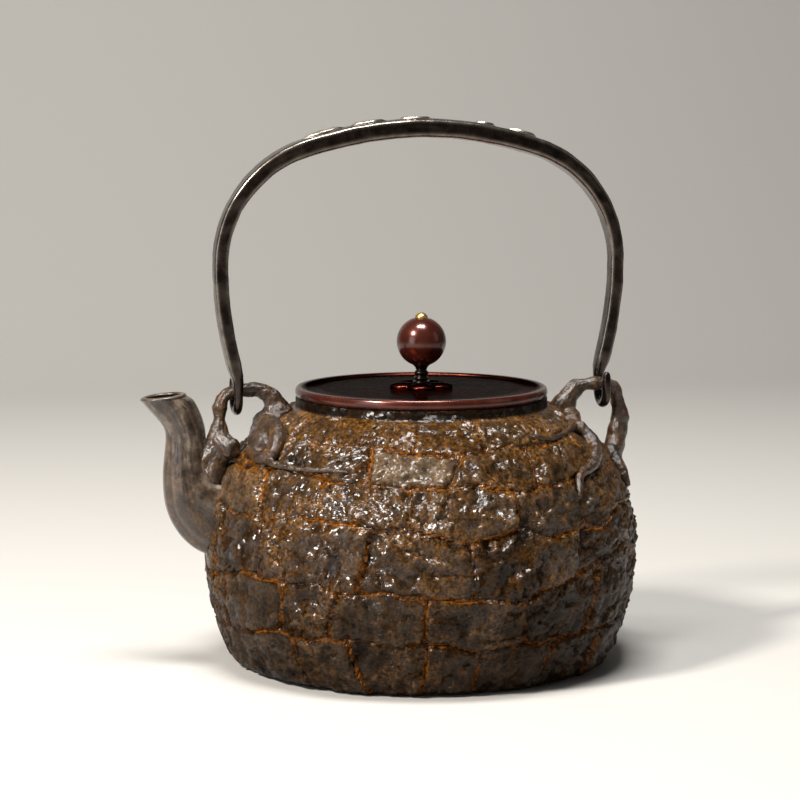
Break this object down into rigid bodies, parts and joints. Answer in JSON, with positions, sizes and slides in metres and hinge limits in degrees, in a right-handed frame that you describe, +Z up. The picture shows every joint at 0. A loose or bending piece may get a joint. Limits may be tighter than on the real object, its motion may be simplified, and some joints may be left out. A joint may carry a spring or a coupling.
{
  "type": "cast iron kettle",
  "caption": "Round iron kettle with stone-slab relief, root-like spout, looped branch ears, folding bow handle and a lift-off lid with a ball knob, for boiling and pouring water for tea.",
  "frame": {"origin": "centre of the flat base, on the table", "axes": "+Z up, the spout points along -X, the ears and the handle lie along X"},
  "size_m": [0.2015, 0.1759, 0.2194],
  "materials": {
    "relief_iron": "waxed brown cast iron with rust-coloured hollows",
    "base_iron": "dark cast iron, matt",
    "root_iron": "smooth grey-brown cast iron, streaked, satin",
    "forged_iron": "forged iron, dark and waxed, satin",
    "inlay_silver": "worn silver-coloured metal",
    "patina_bronze": "dark red-brown patina, polished",
    "washer_bronze": "dark bronze, polished",
    "pin_bronze": "dark bronze, satin",
    "gilt_brass": "gold-coloured, polished"
  },
  "bodies": {
    "kettle": {"kettle_shell": "relief_iron", "base_plate": "base_iron", "spout": "root_iron", "spout_ear": "root_iron", "rear_ear": "root_iron"},
    "handle": {"handle_bow": "forged_iron", "handle_inlays": "inlay_silver"},
    "lid": {"lid_plate": "patina_bronze", "lid_flange": "patina_bronze", "knob_washer": "washer_bronze", "knob_pin": "pin_bronze", "knob_ball": "patina_bronze", "knob_cap": "gilt_brass", "pin_washer": "pin_bronze"}
  },
  "joints": [
    {"name": "handle_fold", "type": "hinge", "parent": "kettle", "child": "handle", "pos_m": [0, 0, 0.1105], "axis": [1, 0, 0], "range_deg": [-115, 115]},
    {"name": "lid_lift", "type": "slide", "parent": "kettle", "child": "lid", "axis": [0, 0, 1], "range_m": [0, 0.06]}
  ]
}
